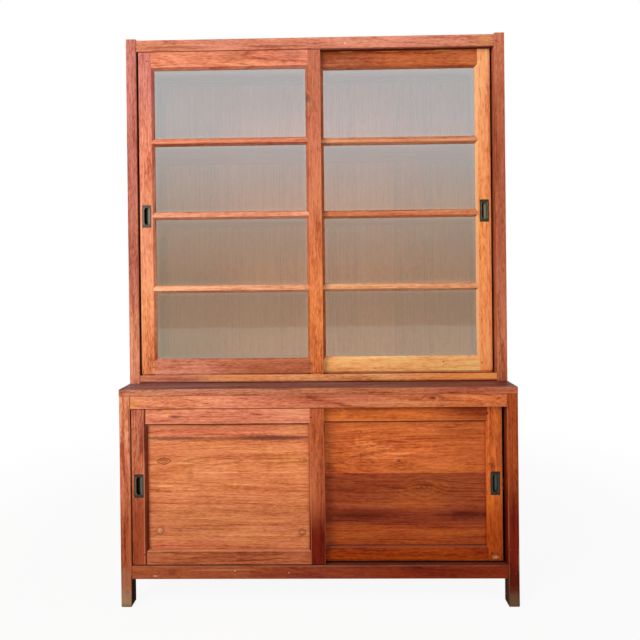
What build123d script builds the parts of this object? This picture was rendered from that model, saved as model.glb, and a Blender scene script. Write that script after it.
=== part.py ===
from build123d import *
import os

# A two-part kitchen cabinet: a glazed chest stands on a deeper base chest.
# Millimetres. +X is right, +Y is back, +Z is up. The origin is on the floor,
# under the middle of the base. The fronts face -Y.

# Overall sizes
cabinet_width = 1200.0
base_depth = 440.0
base_height = 660.0
chest_depth = 346.0
chest_height = 1098.0

# Posts
front_post_width = 32.0
front_post_depth = 40.0
rear_post_width = 32.0
rear_post_depth = 32.0
post_arris = 1.5
foot_arris = 2.5

# Front rails, which hold the door tracks
rail_set_back = 3.0
rail_arris = 1.0
track_depth = 45.0
chest_top_rail_height = 36.0
chest_top_rail_drop = 3.0
chest_sill_height = 22.5
chest_sill_lift = 2.0
base_top_rail_height = 40.0
base_sill_height = 41.0
leg_clearance = 84.0
front_tenon_length = 22.0
front_tenon_thickness = 12.0
front_tenon_shoulder = 5.0
front_tenon_set_in = 10.0
rail_lap = 11.0
rail_lap_depth = 6.0

# Rear and side rails
side_rail_thickness = 22.0
side_rail_height = 38.0
side_tenon_length = 12.0
side_tenon_thickness = 8.0
side_tenon_shoulder = 6.0

# Boards and panels
countertop_thickness = 20.0
countertop_arris = 1.5
countertop_rear_boards = 2
side_panel_thickness = 8.0
side_panel_set_back = 10.0
back_board_thickness = 8.0
back_board_set_back = 8.0
back_board_width = 144.0
top_board_thickness = 10.0
top_board_recess = 5.0
top_board_width = 145.0
top_board_tongue = 5.0
top_board_shoulder_gap = 0.5
bottom_board_thickness = 12.0
bottom_board_drop = 8.0
board_lap = 6.0
board_vee = 1.2
panel_groove = 6.0

# Shelves
shelf_thickness = 18.0
shelf_front_round = 3.0
shelf_door_clearance = 4.0
cleat_height = 20.0
cleat_width = 18.0

# All doors
door_thickness = 18.0
door_recess = 5.0
door_spacing = 1.5
door_overlap = 44.0
door_arris = 0.8
tongue_thickness = 8.0
tongue_side_clearance = 0.5
runner_clearance = 0.3
head_gap = 2.0
head_tongue = 10.0
head_groove = 16.0
sill_groove = 4.0

# Where each door stands: the gap between its outer edge and the post
upper_left_stand_off = 6.0
upper_right_stand_off = 7.5
lower_left_stand_off = 3.0
lower_right_stand_off = 9.0

# Glazed doors
glazed_door_play = 8.5
glazed_door_lift = 5.0
glazed_stile_width = 48.75
glazed_top_rail = 57.0
glazed_bottom_rail = 47.5
muntin_width = 25.0
muntin_count = 3
pane_height = 210.0
glazed_bevel_width = 8.5
glazed_bevel_depth = 6.0
glass_depth = 8.0
glass_thickness = 3.0
glass_edge_clearance = 0.5
glass_rebate = 8.0
bead_set_in = 0.5
bead_bevel = 3.0
muntin_tenon_length = 7.0
muntin_tenon_thickness = 5.0

# Panelled doors
panelled_door_play = 5.0
panelled_door_lift = 2.5
panelled_stile_width = 47.5
panelled_top_rail = 47.5
panelled_bottom_rail = 43.0
panelled_bevel_width = 4.0
panelled_bevel_depth = 4.0
door_panel_depth = 11.0
door_panel_thickness = 5.0
door_panel_board = 162.5
door_panel_narrowest = 52.0
door_rail_tenon_length = 32.0
door_rail_tenon_thickness = 5.0
door_rail_tenon_depth = 6.0
door_rail_tenon_shoulder = 8.0

# Finger pulls
pull_width = 28.5
pull_height = 71.0
pull_plate_thickness = 1.5
pull_plate_inlay = 1.0
pull_corner = 1.5
pull_edge_bevel = 0.4
pull_inset = 21.5
upper_left_pull_drop = 9.5
upper_right_pull_drop = 2.5
lower_left_pull_drop = -3.5
lower_right_pull_drop = 0.0
finger_width = 17.0
finger_height = 54.0
finger_depth = 9.0
finger_wall = 1.0
finger_taper = 8.0
finger_rim = 0.8
pocket_clearance = 0.3

# Places worked out from the sizes above
half_width = cabinet_width / 2
base_front = -base_depth / 2
back_face = base_depth / 2
chest_front = back_face - chest_depth
chest_top = base_height + chest_height
opening_half = half_width - front_post_width
glazed_door_width = opening_half + door_overlap / 2 - glazed_door_play
panelled_door_width = opening_half + door_overlap / 2 - panelled_door_play
door_pitch = door_thickness + door_spacing
door_zone = door_recess + door_thickness + door_pitch

chest_opening_top = chest_top - chest_top_rail_drop - chest_top_rail_height
chest_opening_bottom = base_height + chest_sill_lift + chest_sill_height
base_post_top = base_height - countertop_thickness
base_opening_top = base_post_top - base_top_rail_height
base_opening_bottom = leg_clearance + base_sill_height
glazed_door_height = chest_opening_top - head_gap - chest_opening_bottom - glazed_door_lift
panelled_door_height = base_opening_top - head_gap - base_opening_bottom - panelled_door_lift


def block(xs, ys, zs):
    """A squared timber that fills the three given spans."""
    size = [high - low for low, high in (xs, ys, zs)]
    return Pos(xs[0], ys[0], zs[0]) * Box(*size, align=(Align.MIN,) * 3)


def eased(timber, axis, size):
    """The timber with its long arrises planed off."""
    return chamfer(timber.edges().filter_by(axis), length=size)


def upright_face(points, y):
    """A flat face across the depth, from (x, z) points."""
    outline = Polyline(*[(x, y, z) for x, z in points], close=True)
    return make_face(outline)


def upright_prism(points, ys):
    """A prism that runs from front to back, from (x, z) points."""
    front = upright_face(points, ys[0])
    return extrude(front, amount=ys[1] - ys[0], dir=(0, 1, 0))


def corners(xs, zs):
    """The four (x, z) corners of an upright rectangle."""
    return [(xs[0], zs[0]), (xs[1], zs[0]), (xs[1], zs[1]), (xs[0], zs[1])]


def widened(span, margin):
    """A span that is longer by the margin at both ends."""
    return (span[0] - margin, span[1] + margin)


def mirrored(span):
    """The same span on the other side of the middle."""
    return (-span[1], -span[0])


def less(timber, others):
    """The timber with the room that the other pieces need cut out of it."""
    for other in others:
        timber = timber - other
    return timber


def both_sides(xs):
    """A span on the left of the middle and its twin on the right."""
    return (mirrored(xs), xs)


# ---------------------------------------------------------------- carcass


def posts(front, foot, head):
    """The four blank corner posts of a chest, by name."""
    front_ys = (front, front + front_post_depth)
    rear_ys = (back_face - rear_post_depth, back_face)
    made = {}
    for row, ys, width in (("front", front_ys, front_post_width), ("rear", rear_ys, rear_post_width)):
        for side, xs in zip(("left", "right"), both_sides((half_width - width, half_width))):
            made[f"{row}_{side}_post"] = eased(block(xs, ys, (foot, head)), Axis.Z, post_arris)
    return made


def worn_foot(post):
    """The post with the edges of its foot worn off."""
    return chamfer(post.faces().sort_by(Axis.Z)[0].edges(), length=foot_arris)


def track_rail(front, zs, groove_depth, groove_at_top):
    """A front rail with one groove for each door and a tenon at each end."""
    ys = (front + rail_set_back, front + rail_set_back + track_depth)
    rail = block((-opening_half, opening_half), ys, zs)
    front_edges = rail.edges().filter_by(Axis.X).group_by(Axis.Y)[0]
    rail = chamfer(front_edges, length=rail_arris)
    for track in range(2):
        middle = front + door_recess + door_thickness / 2 + track * door_pitch
        half_groove = tongue_thickness / 2 + tongue_side_clearance
        groove_zs = (zs[1] - groove_depth, zs[1]) if groove_at_top else (zs[0], zs[0] + groove_depth)
        rail -= block((-opening_half, opening_half), (middle - half_groove, middle + half_groove), groove_zs)
    tenon_ys = (front + front_tenon_set_in, front + front_tenon_set_in + front_tenon_thickness)
    low, high = zs[0] + front_tenon_shoulder, zs[1] - front_tenon_shoulder
    if groove_at_top:
        high = min(high, zs[1] - groove_depth)
    else:
        low = max(low, zs[0] + groove_depth)
    for end in both_sides((opening_half, opening_half + front_tenon_length)):
        rail += block(end, tenon_ys, (low, high))
    return rail


def lapped_shoulder(front, zs):
    """The mitred face lap by which the base rail covers part of its left post."""
    edge = -opening_half
    outline = [(edge, zs[0]), (edge, zs[1]), (edge - rail_lap, zs[1]), (edge - rail_lap, zs[0] + rail_lap)]
    face = front + rail_set_back
    return upright_prism(outline, (face, face + rail_lap_depth))


def rear_rail(zs):
    """A rail between the rear posts, tenoned at both ends."""
    inner = half_width - rear_post_width
    back = back_face - rail_set_back
    ys = (back - side_rail_thickness, back)
    rail = eased(block((-inner, inner), ys, zs), Axis.X, rail_arris)
    middle = sum(ys) / 2
    tenon_ys = (middle - side_tenon_thickness / 2, middle + side_tenon_thickness / 2)
    tenons = block(widened((-inner, inner), side_tenon_length), tenon_ys, widened(zs, -side_tenon_shoulder))
    return rail + tenons


def side_rail(front, outer_xs, zs):
    """A rail between a front and a rear post, tenoned at both ends."""
    ys = (front + front_post_depth, back_face - rear_post_depth)
    rail = eased(block(outer_xs, ys, zs), Axis.Y, rail_arris)
    middle = sum(outer_xs) / 2
    tenon_xs = (middle - side_tenon_thickness / 2, middle + side_tenon_thickness / 2)
    return rail + block(tenon_xs, widened(ys, side_tenon_length), widened(zs, -side_tenon_shoulder))


def lapped_boards(plane, length, span, thickness, board_width):
    """Boards side by side along a span, each with a half-lap over the next."""
    count = max(1, round((span[1] - span[0]) / board_width))
    step = (span[1] - span[0]) / count
    half = thickness / 2
    boards = []
    for number in range(count):
        left, right = span[0] + number * step, span[0] + (number + 1) * step
        back_left = left if number == 0 else left + board_lap
        back_right = right if number == count - 1 else right + board_lap
        outline = [
            (left, board_vee), (left + board_vee, 0), (right - board_vee, 0), (right, board_vee),
            (right, half), (back_right, half), (back_right, thickness), (back_left, thickness),
            (back_left, half), (left, half),
        ]
        corners_once = [point for last, point in zip([outline[-1]] + outline, outline) if point != last]
        boards.append(extrude(plane * make_face(Polyline(*corners_once, close=True)), amount=length))
    return boards


def side_panels(front, outer_xs, rail_zs):
    """The panels of one side, held in grooves between its rails."""
    ys = widened((front + front_post_depth, back_face - rear_post_depth), panel_groove)
    ordered = sorted(rail_zs)
    fields = [(low[1] - panel_groove, high[0] + panel_groove) for low, high in zip(ordered, ordered[1:])]
    return [block(outer_xs, ys, zs) for zs in fields]


def carcass(prefix, front, foot, head, opening_zs, top_rail_top, sill_bottom, side_rail_zs, lap_left):
    """The frame of one chest, with its side panels, back boards and bottom board."""
    post = posts(front, foot, head)
    top_zs, sill_zs = (opening_zs[1], top_rail_top), (sill_bottom, opening_zs[0])
    top_rail = track_rail(front, top_zs, head_groove, groove_at_top=False)
    if lap_left:
        top_rail += lapped_shoulder(front, top_zs)
    sill = track_rail(front, sill_zs, sill_groove, groove_at_top=True)

    rail_outer = half_width - rail_set_back
    rail_xs = (rail_outer - side_rail_thickness, rail_outer)
    rails = [side_rail(front, xs, zs) for xs in both_sides(rail_xs) for zs in side_rail_zs]
    rear_zs = (side_rail_zs[0], side_rail_zs[-1])
    rear_rails = [rear_rail(zs) for zs in rear_zs]

    panel_outer = half_width - side_panel_set_back
    panel_xs = (panel_outer - side_panel_thickness, panel_outer)
    left_panels, right_panels = [side_panels(front, xs, side_rail_zs) for xs in both_sides(panel_xs)]

    back_span = widened((-half_width + rear_post_width, half_width - rear_post_width), panel_groove)
    back_zs = (rear_zs[0][1] - panel_groove, rear_zs[1][0] + panel_groove)
    board_front = back_face - back_board_set_back - back_board_thickness
    boards = lapped_boards(
        Plane(origin=(0, board_front, back_zs[0]), x_dir=(1, 0, 0), z_dir=(0, 0, 1)),
        back_zs[1] - back_zs[0], back_span, back_board_thickness, back_board_width,
    )

    track_back = front + rail_set_back + track_depth
    rear_rail_front = back_face - rail_set_back - side_rail_thickness
    floor_ys = widened((track_back, rear_rail_front), panel_groove)
    floor_xs = widened((-rail_xs[0], rail_xs[0]), panel_groove)
    floor_zs = (sill_bottom + bottom_board_drop, sill_bottom + bottom_board_drop + bottom_board_thickness)
    floor = less(block(floor_xs, floor_ys, floor_zs), post.values())

    held = left_panels + right_panels + boards + [floor]
    for name in post:
        post[name] = less(post[name], [top_rail, sill] + rails + rear_rails + held)
    nodes = {f"{prefix}_{name}": solid for name, solid in post.items()}
    nodes[f"{prefix}_top_rail"] = top_rail
    nodes[f"{prefix}_sill"] = less(sill, [floor])
    nodes[f"{prefix}_rear_rails"] = [less(rail, boards + [floor]) for rail in rear_rails]
    nodes[f"{prefix}_side_rails"] = [less(rail, left_panels + right_panels + [floor]) for rail in rails]
    nodes[f"{prefix}_left_panel"] = left_panels
    nodes[f"{prefix}_right_panel"] = right_panels
    nodes[f"{prefix}_back_boards"] = boards
    nodes[f"{prefix}_bottom_board"] = floor
    return nodes


def top_boards(nodes):
    """Boards that close the top of the upper chest, with tongues in grooves of its rails."""
    rail_top = chest_top - chest_top_rail_drop
    high = rail_top - top_board_recess
    low = high - top_board_thickness
    track_back = chest_front + rail_set_back + track_depth
    rear_front = back_face - rail_set_back - side_rail_thickness
    side = half_width - rail_set_back - side_rail_thickness
    outer_xs, outer_ys = widened((-side, side), panel_groove), widened((track_back, rear_front), panel_groove)
    field_xs = widened((-side, side), -top_board_shoulder_gap)
    field_ys = widened((track_back, rear_front), -top_board_shoulder_gap)
    shoulder_zs = (low + top_board_tongue, high)
    shoulder = block(outer_xs, outer_ys, shoulder_zs) - block(field_xs, field_ys, shoulder_zs)
    plane = Plane(origin=(outer_xs[0], 0, low), x_dir=(0, 1, 0), z_dir=(1, 0, 0))
    boards = lapped_boards(plane, outer_xs[1] - outer_xs[0], outer_ys, top_board_thickness, top_board_width)
    blanks = list(posts(chest_front, base_height, chest_top).values())
    boards = [less(board, blanks + [shoulder]) for board in boards]
    nodes["chest_top_rail"] = less(nodes["chest_top_rail"], boards)
    for name in ("chest_rear_rails", "chest_side_rails"):
        nodes[name] = [less(rail, boards) for rail in nodes[name]]
    nodes["chest_top_board"] = boards


def shelf(front, foot, head, middle):
    """A shelf with a rounded front edge, notched round the rear posts."""
    board_front = back_face - back_board_set_back - back_board_thickness
    ys = (front + door_zone + shelf_door_clearance, board_front)
    side = half_width - rail_set_back - side_rail_thickness
    board = block((-side, side), ys, widened((middle, middle), shelf_thickness / 2))
    front_edges = board.edges().filter_by(Axis.X).group_by(Axis.Y)[0]
    board = fillet(front_edges, radius=shelf_front_round)
    return less(board, posts(front, foot, head).values())


def cleats(front, middle, side_rail_zs):
    """The two bearers under one shelf, fixed to the sides."""
    top = middle - shelf_thickness / 2
    ys = (front + door_zone + shelf_door_clearance, back_face - rear_post_depth)
    side = half_width - rail_set_back - side_rail_thickness
    outer = half_width - side_panel_set_back - side_panel_thickness
    rail_outer = half_width - rail_set_back
    made = []
    for inner_xs, rail_xs in zip(both_sides((side - cleat_width, outer)), both_sides((side, rail_outer))):
        bearer = block(inner_xs, ys, (top - cleat_height, top))
        front_ys = (front, front + front_post_depth)
        rails = [block(rail_xs, (ys[0], ys[1]), zs) for zs in side_rail_zs]
        post_xs = mirrored((opening_half, half_width)) if rail_xs[0] < 0 else (opening_half, half_width)
        made.append(less(bearer, rails + [block(post_xs, front_ys, (top - cleat_height, top))]))
    return made


# ------------------------------------------------------------------ doors


def opening_cutter(xs, zs, bevel_width, bevel_depth):
    """A framed opening: a bevelled mouth and the straight hole behind it."""
    mouth = loft([
        upright_face(corners(widened(xs, bevel_width), widened(zs, bevel_width)), 0),
        upright_face(corners(xs, zs), bevel_depth),
    ])
    return mouth + block(xs, (bevel_depth, door_thickness), zs)


def door_slab(width, height, lift):
    """The door's outline before its openings are cut, with a tongue above and below."""
    slab = block((0, width), (0, door_thickness), (0, height))
    slab = eased(slab, Axis.Z, door_arris)
    tongue_ys = widened((door_thickness / 2, door_thickness / 2), tongue_thickness / 2)
    foot = -(lift + sill_groove - runner_clearance)
    return slab + block((0, width), tongue_ys, (foot, height + head_tongue))


def rail_region(xs, bevel, sight_z, outer_z):
    """The part of the slab that a top or bottom rail takes, mitred at its bevel."""
    shoulder_z = sight_z + bevel if outer_z > sight_z else sight_z - bevel
    left, right = xs[0] - bevel, xs[1] + bevel
    outline = [
        (xs[0], sight_z), (xs[1], sight_z), (right, shoulder_z),
        (right, outer_z), (left, outer_z), (left, shoulder_z),
    ]
    return upright_prism(outline, (0, door_thickness))


def muntin_region(xs, bevel, zs):
    """The part of the slab that a muntin takes, pointed at both ends."""
    left, right = xs[0] - bevel, xs[1] + bevel
    flat = widened(zs, -bevel)
    outline = [
        (xs[0], zs[0]), (xs[1], zs[0]), (right, flat[0]), (right, flat[1]),
        (xs[1], zs[1]), (xs[0], zs[1]), (left, flat[1]), (left, flat[0]),
    ]
    return upright_prism(outline, (0, door_thickness))


def end_tenons(xs, length, ys, zs):
    """A tenon past each end of a rail whose shoulders stand at the given span."""
    return block((xs[0] - length, xs[0]), ys, zs) + block((xs[1], xs[1] + length), ys, zs)


def joined_frame(slab, xs, bevel, sight_zs, muntin_zs, top_zs):
    """The slab cut into two rails, its muntins and two stiles, all tenoned together."""
    shoulders = widened(xs, bevel)
    tenon_ys = (door_rail_tenon_depth, door_rail_tenon_depth + door_rail_tenon_thickness)
    bottom_region = rail_region(xs, bevel, sight_zs[0], top_zs[0])
    top_region = rail_region(xs, bevel, sight_zs[1], top_zs[1])
    bottom_tenon_zs = (door_rail_tenon_shoulder, sight_zs[0] - bevel - door_rail_tenon_shoulder)
    top_tenon_zs = (sight_zs[1] + bevel + door_rail_tenon_shoulder, top_zs[2] - door_rail_tenon_shoulder)
    bottom = slab & bottom_region
    bottom += end_tenons(shoulders, door_rail_tenon_length, tenon_ys, bottom_tenon_zs)
    top = slab & top_region
    top += end_tenons(shoulders, door_rail_tenon_length, tenon_ys, top_tenon_zs)
    muntins = []
    for zs in muntin_zs:
        middle = sum(zs) / 2
        tenon_zs = widened((middle, middle), muntin_tenon_thickness / 2)
        muntin = slab & muntin_region(xs, bevel, zs)
        muntins.append(muntin + end_tenons(shoulders, muntin_tenon_length, tenon_ys, tenon_zs))
    stiles = less(slab, [bottom_region, top_region, bottom, top])
    for zs, muntin in zip(muntin_zs, muntins):
        stiles = stiles - muntin_region(xs, bevel, zs) - muntin
    middle, width, full_zs = sum(xs) / 2, sum(xs), (top_zs[0], top_zs[1])
    left = stiles & block((0, middle), (0, door_thickness), full_zs)
    right = stiles & block((middle, width), (0, door_thickness), full_zs)
    return left, right, top, bottom, muntins


def finger_pull(x, z):
    """A metal plate with a tapered finger cup, let into the stile."""
    face = -(pull_plate_thickness - pull_plate_inlay)
    at_face = Plane(origin=(x, face, z), x_dir=(1, 0, 0), z_dir=(0, 1, 0))
    plate = extrude(at_face * RectangleRounded(pull_width, pull_height, pull_corner), pull_plate_thickness)
    plate = chamfer(plate.faces().sort_by(Axis.Y)[0].edges(), length=pull_edge_bevel)
    shell = SlotOverall(finger_height + 2 * finger_wall, finger_width + 2 * finger_wall, rotation=90)
    hollow = SlotOverall(finger_height, finger_width, rotation=90)
    cup = extrude(at_face * shell, finger_depth + finger_wall, taper=finger_taper)
    room = extrude(at_face * hollow, finger_depth, taper=finger_taper)
    pull = plate + cup - room
    rim = pull.faces().sort_by(Axis.Y)[0].inner_wires()[0].edges()
    return fillet(rim, radius=finger_rim)


def pull_pocket(x, z):
    """The sinking in the stile that takes the plate and the cup."""
    at_face = Plane(origin=(x, 0, z), x_dir=(1, 0, 0), z_dir=(0, 1, 0))
    margin = 2 * pocket_clearance
    shell = SlotOverall(
        finger_height + 2 * finger_wall + margin, finger_width + 2 * finger_wall + margin, rotation=90
    )
    seat = extrude(at_face * Rectangle(pull_width + margin, pull_height + margin), pull_plate_inlay)
    cup = extrude(at_face * shell, finger_depth + finger_wall)
    return seat + cup


def bead_strips(xs, zs):
    """Four bevelled strips that hold one pane against its rebate."""
    low_y, high_y = glass_depth + glass_thickness, door_thickness - bead_set_in
    depth, width = high_y - low_y, glass_rebate
    outer_xs, outer_zs = widened(xs, width), widened(zs, width)
    section = [(0, 0), (width, 0), (width, depth - bead_bevel), (width - bead_bevel, depth), (0, depth)]
    across, up = outer_xs[1] - outer_xs[0], zs[1] - zs[0]

    def strip(origin, inward, along, length):
        plane = Plane(origin=origin, x_dir=inward, z_dir=along)
        depth_sign = plane.y_dir.Y
        outline = [(u, v * depth_sign) for u, v in section]
        return extrude(plane * make_face(Polyline(*outline, close=True)), amount=length)

    return [
        strip((outer_xs[0], low_y, outer_zs[0]), (0, 0, 1), (1, 0, 0), across),
        strip((outer_xs[0], low_y, outer_zs[1]), (0, 0, -1), (1, 0, 0), across),
        strip((outer_xs[0], low_y, zs[0]), (1, 0, 0), (0, 0, 1), up),
        strip((outer_xs[1], low_y, zs[0]), (-1, 0, 0), (0, 0, 1), up),
    ]


def pane_spans():
    """The sight height of each pane, from the bottom up. The top pane takes what is left."""
    low = glazed_bottom_rail
    spans = []
    for _ in range(muntin_count):
        spans.append((low, low + pane_height))
        low += pane_height + muntin_width
    spans.append((low, glazed_door_height - glazed_top_rail))
    return spans


def shelf_levels():
    """The heights of the muntins' middles in the cabinet."""
    door_foot = chest_opening_bottom + glazed_door_lift
    return [door_foot + span[1] + muntin_width / 2 for span in pane_spans()[:-1]]


def placed(nodes, prefix, x, y, z):
    """The door's pieces at their place in the cabinet, with the door's name in front."""
    moved = {}
    for name, solids in nodes.items():
        group = solids if isinstance(solids, list) else [solids]
        moved[f"{prefix}_{name}"] = [Pos(x, y, z) * solid for solid in group]
    return moved


def stile_names(pull_on_left):
    """Which stile stands at the post and which at the middle, left one first."""
    return ("outer_stile", "meeting_stile") if pull_on_left else ("meeting_stile", "outer_stile")


def with_pull(nodes, width, pull_height_up, pull_on_left):
    """The door with its pull let into the outer stile."""
    x = pull_inset if pull_on_left else width - pull_inset
    pocket = pull_pocket(x, pull_height_up)
    nodes["outer_stile"] = nodes["outer_stile"] - pocket
    if "muntins" in nodes:
        nodes["muntins"] = [less(muntin, [pocket]) for muntin in nodes["muntins"]]
    nodes["pull"] = finger_pull(x, pull_height_up)
    return nodes


def glazed_door(pull_on_left, pull_drop):
    """A sliding door with four panes between bevelled muntins."""
    xs = (glazed_stile_width, glazed_door_width - glazed_stile_width)
    panes = pane_spans()
    slab = door_slab(glazed_door_width, glazed_door_height, glazed_door_lift)
    for zs in panes:
        slab -= opening_cutter(xs, zs, glazed_bevel_width, glazed_bevel_depth)
        slab -= block(widened(xs, glass_rebate), (glass_depth, door_thickness), widened(zs, glass_rebate))
    muntin_zs = [(low[1], high[0]) for low, high in zip(panes, panes[1:])]
    foot = -(glazed_door_lift + sill_groove)
    top_zs = (foot, glazed_door_height + head_tongue, glazed_door_height)
    sight_zs = (panes[0][0], panes[-1][1])
    left, right, top, bottom, muntins = joined_frame(
        slab, xs, glazed_bevel_width, sight_zs, muntin_zs, top_zs
    )
    margin = glass_rebate - glass_edge_clearance
    glass_ys = (glass_depth, glass_depth + glass_thickness)
    first, second = stile_names(pull_on_left)
    nodes = {first: left, second: right, "top_rail": top, "bottom_rail": bottom, "muntins": muntins}
    nodes["glass"] = [block(widened(xs, margin), glass_ys, widened(zs, margin)) for zs in panes]
    nodes["beads"] = [strip for zs in panes for strip in bead_strips(xs, zs)]
    return with_pull(nodes, glazed_door_width, glazed_door_height / 2 - pull_drop, pull_on_left)


def panel_boards(xs, zs):
    """The boards of a door panel, laid from the top down with glued edges."""
    ys = (door_panel_depth, door_panel_depth + door_panel_thickness)
    boards = []
    top = zs[1]
    while top > zs[0]:
        low = top - door_panel_board
        if low - zs[0] < door_panel_narrowest:
            low = zs[0]
        boards.append(block(xs, ys, (low, top)))
        top = low
    return boards


def panelled_door(pull_on_left, pull_drop):
    """A sliding door with a wooden panel held in a grooved frame."""
    xs = (panelled_stile_width, panelled_door_width - panelled_stile_width)
    sight_zs = (panelled_bottom_rail, panelled_door_height - panelled_top_rail)
    slab = door_slab(panelled_door_width, panelled_door_height, panelled_door_lift)
    slab -= opening_cutter(xs, sight_zs, panelled_bevel_width, panelled_bevel_depth)
    boards = panel_boards(widened(xs, panel_groove), widened(sight_zs, panel_groove))
    slab = less(slab, boards)
    foot = -(panelled_door_lift + sill_groove)
    top_zs = (foot, panelled_door_height + head_tongue, panelled_door_height)
    left, right, top, bottom, _ = joined_frame(slab, xs, panelled_bevel_width, sight_zs, [], top_zs)
    first, second = stile_names(pull_on_left)
    nodes = {first: left, second: right, "top_rail": top, "bottom_rail": bottom, "panel": boards}
    return with_pull(nodes, panelled_door_width, panelled_door_height / 2 - pull_drop, pull_on_left)


def doors():
    """The four doors where they stand. The left ones run in the front tracks."""
    chest_y, base_y = chest_front + door_recess, base_front + door_recess
    glazed_z = chest_opening_bottom + glazed_door_lift
    panelled_z = base_opening_bottom + panelled_door_lift
    left_x, right_x = -opening_half, opening_half
    return (
        placed(
            glazed_door(True, upper_left_pull_drop), "upper_left_door",
            left_x + upper_left_stand_off, chest_y, glazed_z,
        )
        | placed(
            glazed_door(False, upper_right_pull_drop), "upper_right_door",
            right_x - glazed_door_width - upper_right_stand_off, chest_y + door_pitch, glazed_z,
        )
        | placed(
            panelled_door(True, lower_left_pull_drop), "lower_left_door",
            left_x + lower_left_stand_off, base_y, panelled_z,
        )
        | placed(
            panelled_door(False, lower_right_pull_drop), "lower_right_door",
            right_x - panelled_door_width - lower_right_stand_off, base_y + door_pitch, panelled_z,
        )
    )


# --------------------------------------------------------------- assembly


def upper_chest():
    """The carcass of the glazed chest, with its top and three shelves."""
    rail_top = chest_top - chest_top_rail_drop
    foot_rail = base_height + chest_sill_lift
    levels = shelf_levels()
    middle = levels[len(levels) // 2] - shelf_thickness / 2
    side_rail_zs = [
        (foot_rail, foot_rail + side_rail_height),
        (middle - side_rail_height, middle),
        (rail_top - side_rail_height, rail_top),
    ]
    nodes = carcass(
        "chest", chest_front, base_height, chest_top, (chest_opening_bottom, chest_opening_top),
        rail_top, foot_rail, side_rail_zs, lap_left=False,
    )
    top_boards(nodes)
    bearers = []
    for name, level in zip(("lower", "middle", "upper"), levels):
        nodes[f"chest_{name}_shelf"] = shelf(chest_front, base_height, chest_top, level)
        bearers += cleats(chest_front, level, side_rail_zs)
    nodes["chest_shelf_cleats"] = bearers
    return nodes


def countertop():
    """The boards that cover the base: a ledge in front of the chest and boards under it."""
    slab = block((-half_width, half_width), (base_front, back_face), (base_post_top, base_height))
    slab = chamfer(slab.edges().filter_by(Axis.X), length=countertop_arris)
    board_width = chest_depth / countertop_rear_boards
    seams = [chest_front + number * board_width for number in range(countertop_rear_boards + 1)]
    strips = zip([base_front] + seams, seams)
    return [slab & block((-half_width, half_width), ys, (base_post_top, base_height)) for ys in strips]


def base_chest():
    """The carcass of the base chest, with its countertop and one shelf."""
    side_rail_zs = [
        (leg_clearance, leg_clearance + base_sill_height),
        (base_post_top - base_top_rail_height, base_post_top),
    ]
    nodes = carcass(
        "base", base_front, 0, base_post_top, (base_opening_bottom, base_opening_top),
        base_post_top, leg_clearance, side_rail_zs, lap_left=True,
    )
    for name in [name for name in nodes if name.endswith("_post")]:
        nodes[name] = worn_foot(nodes[name])
    middle = (base_opening_bottom + base_opening_top) / 2
    nodes["base_shelf"] = shelf(base_front, 0, base_post_top, middle)
    nodes["base_shelf_cleats"] = cleats(base_front, middle, side_rail_zs)
    nodes["countertop"] = countertop()
    return nodes


def write(nodes):
    """One STEP file for each named node."""
    os.makedirs("parts", exist_ok=True)
    for name, solids in nodes.items():
        group = solids if isinstance(solids, list) else [solids]
        found = [solid for piece in group for solid in piece.solids()]
        shape = found[0] if len(found) == 1 else Compound(children=found)
        export_step(shape, f"parts/{name}.step")


write(upper_chest() | base_chest() | doors())
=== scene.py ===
import math

import bmesh
import bpy
from mathutils import Matrix, Vector


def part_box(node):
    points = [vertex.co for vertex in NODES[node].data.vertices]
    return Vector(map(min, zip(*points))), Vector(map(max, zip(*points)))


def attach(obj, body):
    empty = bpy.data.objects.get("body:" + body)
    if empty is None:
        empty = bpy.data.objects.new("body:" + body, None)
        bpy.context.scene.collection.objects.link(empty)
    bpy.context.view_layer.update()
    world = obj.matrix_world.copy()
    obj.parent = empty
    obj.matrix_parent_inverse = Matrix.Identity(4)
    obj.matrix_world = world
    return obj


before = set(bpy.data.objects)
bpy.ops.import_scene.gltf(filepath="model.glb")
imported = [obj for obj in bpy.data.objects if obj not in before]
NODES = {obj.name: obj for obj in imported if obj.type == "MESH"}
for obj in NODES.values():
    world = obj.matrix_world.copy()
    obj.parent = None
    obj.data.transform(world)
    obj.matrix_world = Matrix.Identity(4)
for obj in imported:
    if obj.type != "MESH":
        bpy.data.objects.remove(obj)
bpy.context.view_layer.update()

MM = 0.001
X, Y, Z = 0, 1, 2


# ---------------------------------------------------------------- colours

def linear(colour):
    """A colour written as eight-bit screen numbers, as the shaders take it."""
    def one(c):
        c /= 255
        return c / 12.92 if c <= 0.04045 else ((c + 0.055) / 1.055) ** 2.4
    return tuple(one(c) for c in colour)


def rgba(colour):
    """The same with full cover, for a colour socket."""
    return (*linear(colour), 1.0)


# The teak's tones, from sapwood to old heartwood
TONES = {
    "straw": (255, 187, 116),
    "honey": (254, 161, 96),
    "apricot": (246, 152, 96),
    "peach": (226, 148, 106),
    "salmon": (231, 138, 103),
    "coral": (216, 131, 102),
    "blush": (204, 122, 103),
    "tangerine": (230, 130, 76),
    "papaya": (232, 138, 88),
    "copper": (199, 122, 91),
    "terracotta": (208, 116, 80),
    "brick": (186, 101, 70),
    "rust": (188, 96, 56),
    "amber": (210, 104, 46),
    "ember": (180, 75, 20),
    "russet": (167, 77, 40),
    "chestnut": (164, 70, 28),
    "mahogany": (142, 58, 34),
    "oxblood": (112, 24, 4),
    "plum": (149, 100, 97),
}

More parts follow.
